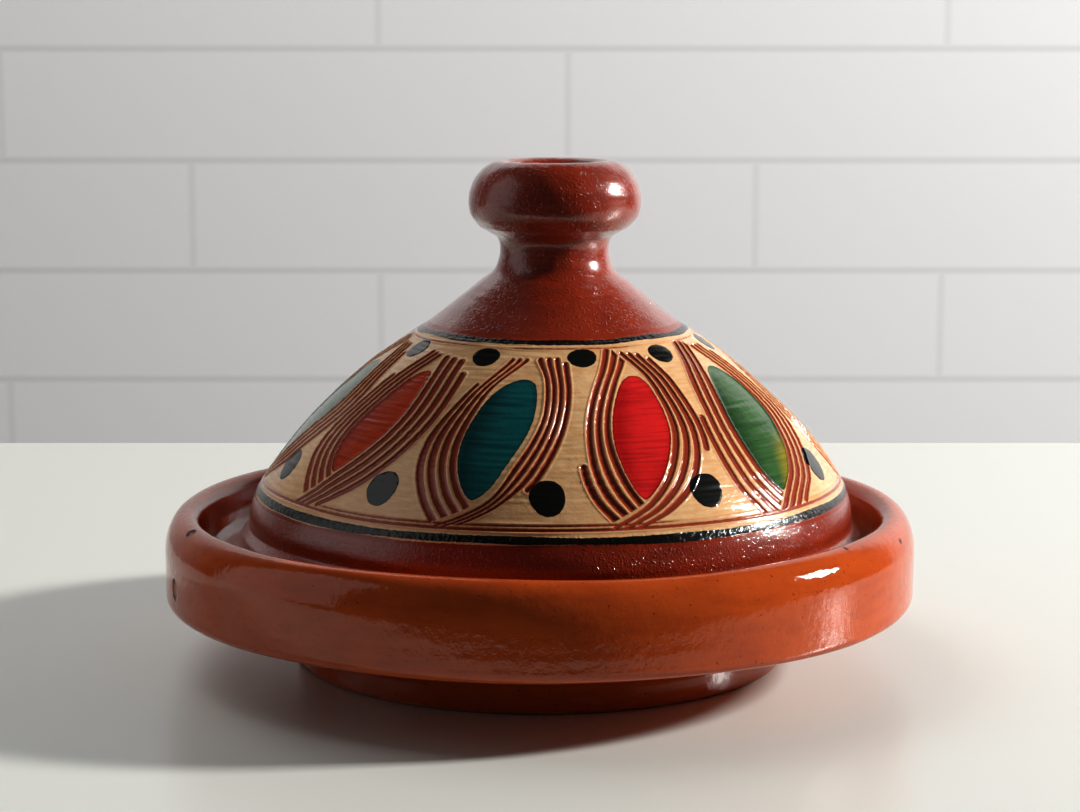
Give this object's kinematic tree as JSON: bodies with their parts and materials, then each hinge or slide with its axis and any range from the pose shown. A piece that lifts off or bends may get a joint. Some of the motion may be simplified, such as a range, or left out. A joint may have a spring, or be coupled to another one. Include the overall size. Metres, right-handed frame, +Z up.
{
  "type": "tagine pot",
  "caption": "Round earthenware cooking pot: a low dish with a thick rolled rim and a painted conical lid with a hollow knob.",
  "frame": {"origin": "under the middle of the dish's foot, on the surface that the pot stands on", "axes": "+Z up along the dish's axis; -Y faces the viewer; the lid sits a little to +X in its loose seat"},
  "size_m": [0.3, 0.3, 0.1984],
  "materials": {
    "dish_glaze": "clear gloss glaze over terracotta slip",
    "lid_glaze": "clear gloss glaze over red-brown slip, with a cream carved and painted band"
  },
  "bodies": {
    "base_dish": {"base_dish": "dish_glaze"},
    "lid": {"lid": "lid_glaze"}
  },
  "joints": [
    {"name": "lid_lift", "type": "slide", "parent": "base_dish", "child": "lid", "axis": [0, 0, 1], "range_m": [0, 0.25]}
  ]
}
